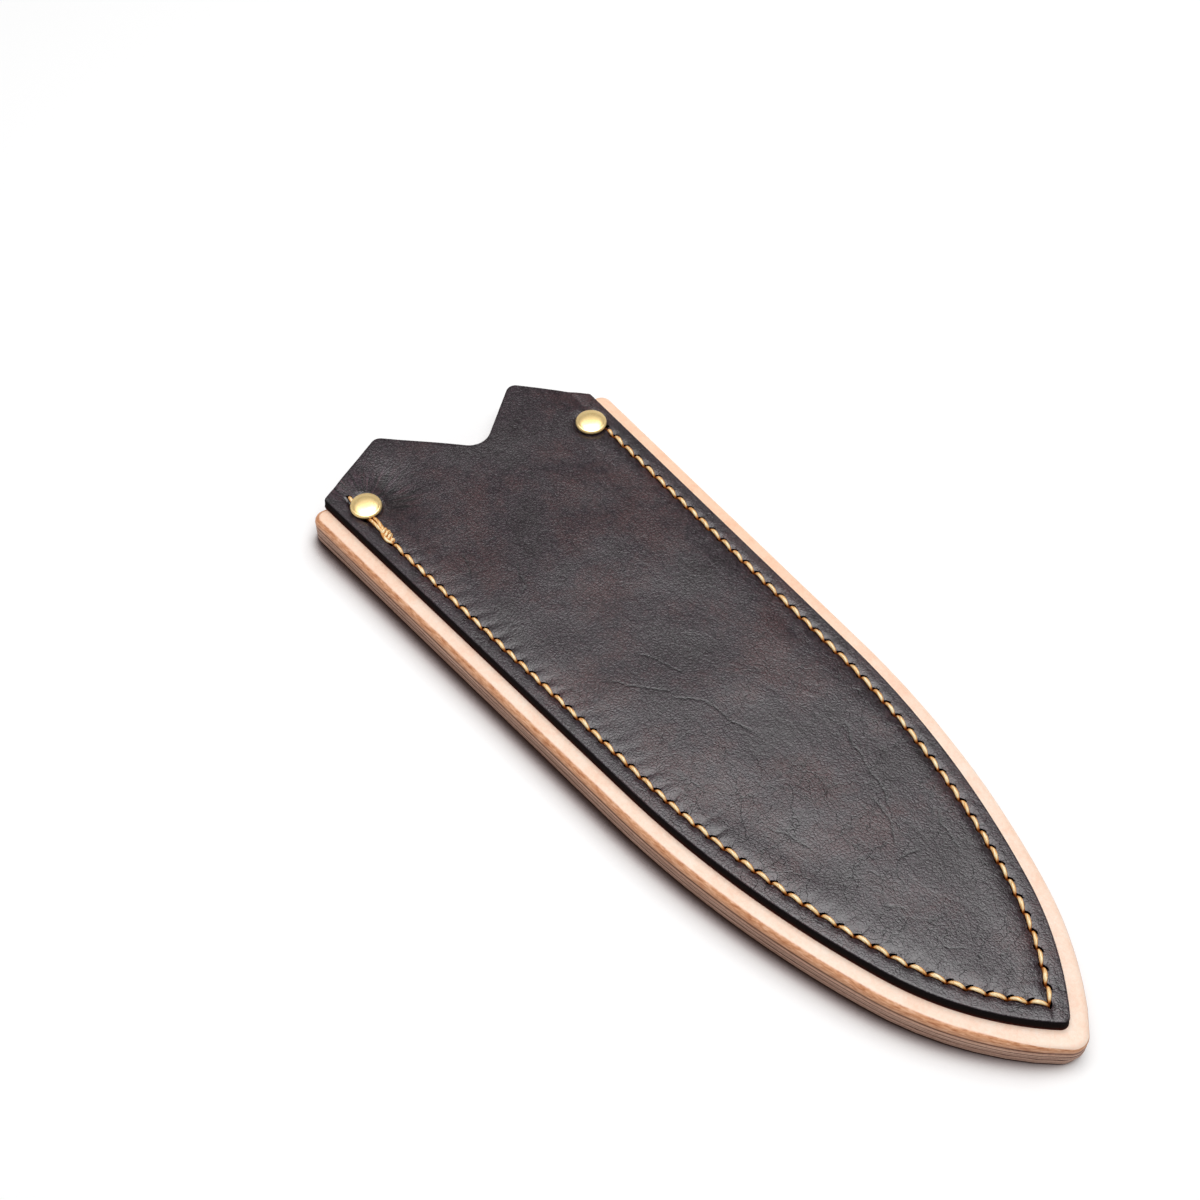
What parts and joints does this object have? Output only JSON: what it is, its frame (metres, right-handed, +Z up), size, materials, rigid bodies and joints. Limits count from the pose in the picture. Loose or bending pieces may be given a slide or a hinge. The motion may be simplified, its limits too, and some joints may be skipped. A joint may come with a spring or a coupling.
{
  "type": "knife blade guard",
  "caption": "Leaf-shaped leather guard for a chef's knife: a dark riveted and saddle-stitched front panel on a thick burnished body of glued leather plies, with a blade slot inside.",
  "frame": {"origin": "below the middle of the guard's outline seen from above, on the flat back that it lies on", "axes": "+X along the blade towards its tip, parallel to the seam beside the blade's spine; +Y towards the blade's spine side; +Z up out of the front panel"},
  "size_m": [0.2312, 0.085, 0.013],
  "materials": {
    "dark_leather": "dark brown-black vegetable-tanned leather, lightly waxed, with slicked black edges",
    "natural_leather": "undyed vegetable-tanned leather, smooth grain, edges burnished to a warm tan",
    "core_leather": "undyed vegetable-tanned leather, burnished and waxed on its edges",
    "rivet_brass": "satin brass",
    "waxed_thread": "waxed tan linen thread, slightly glossy"
  },
  "bodies": {
    "root": {"front_panel": "dark_leather", "welt": "natural_leather", "upper_core_ply": "core_leather", "lower_core_ply": "core_leather", "back_ply": "core_leather", "rivet_cap_edge": "rivet_brass", "rivet_cap_spine": "rivet_brass", "rivet_post_edge": "rivet_brass", "rivet_post_spine": "rivet_brass", "thread_first_end": "waxed_thread", "thread_second_end": "waxed_thread", "thread_lock": "waxed_thread"}
  },
  "joints": []
}
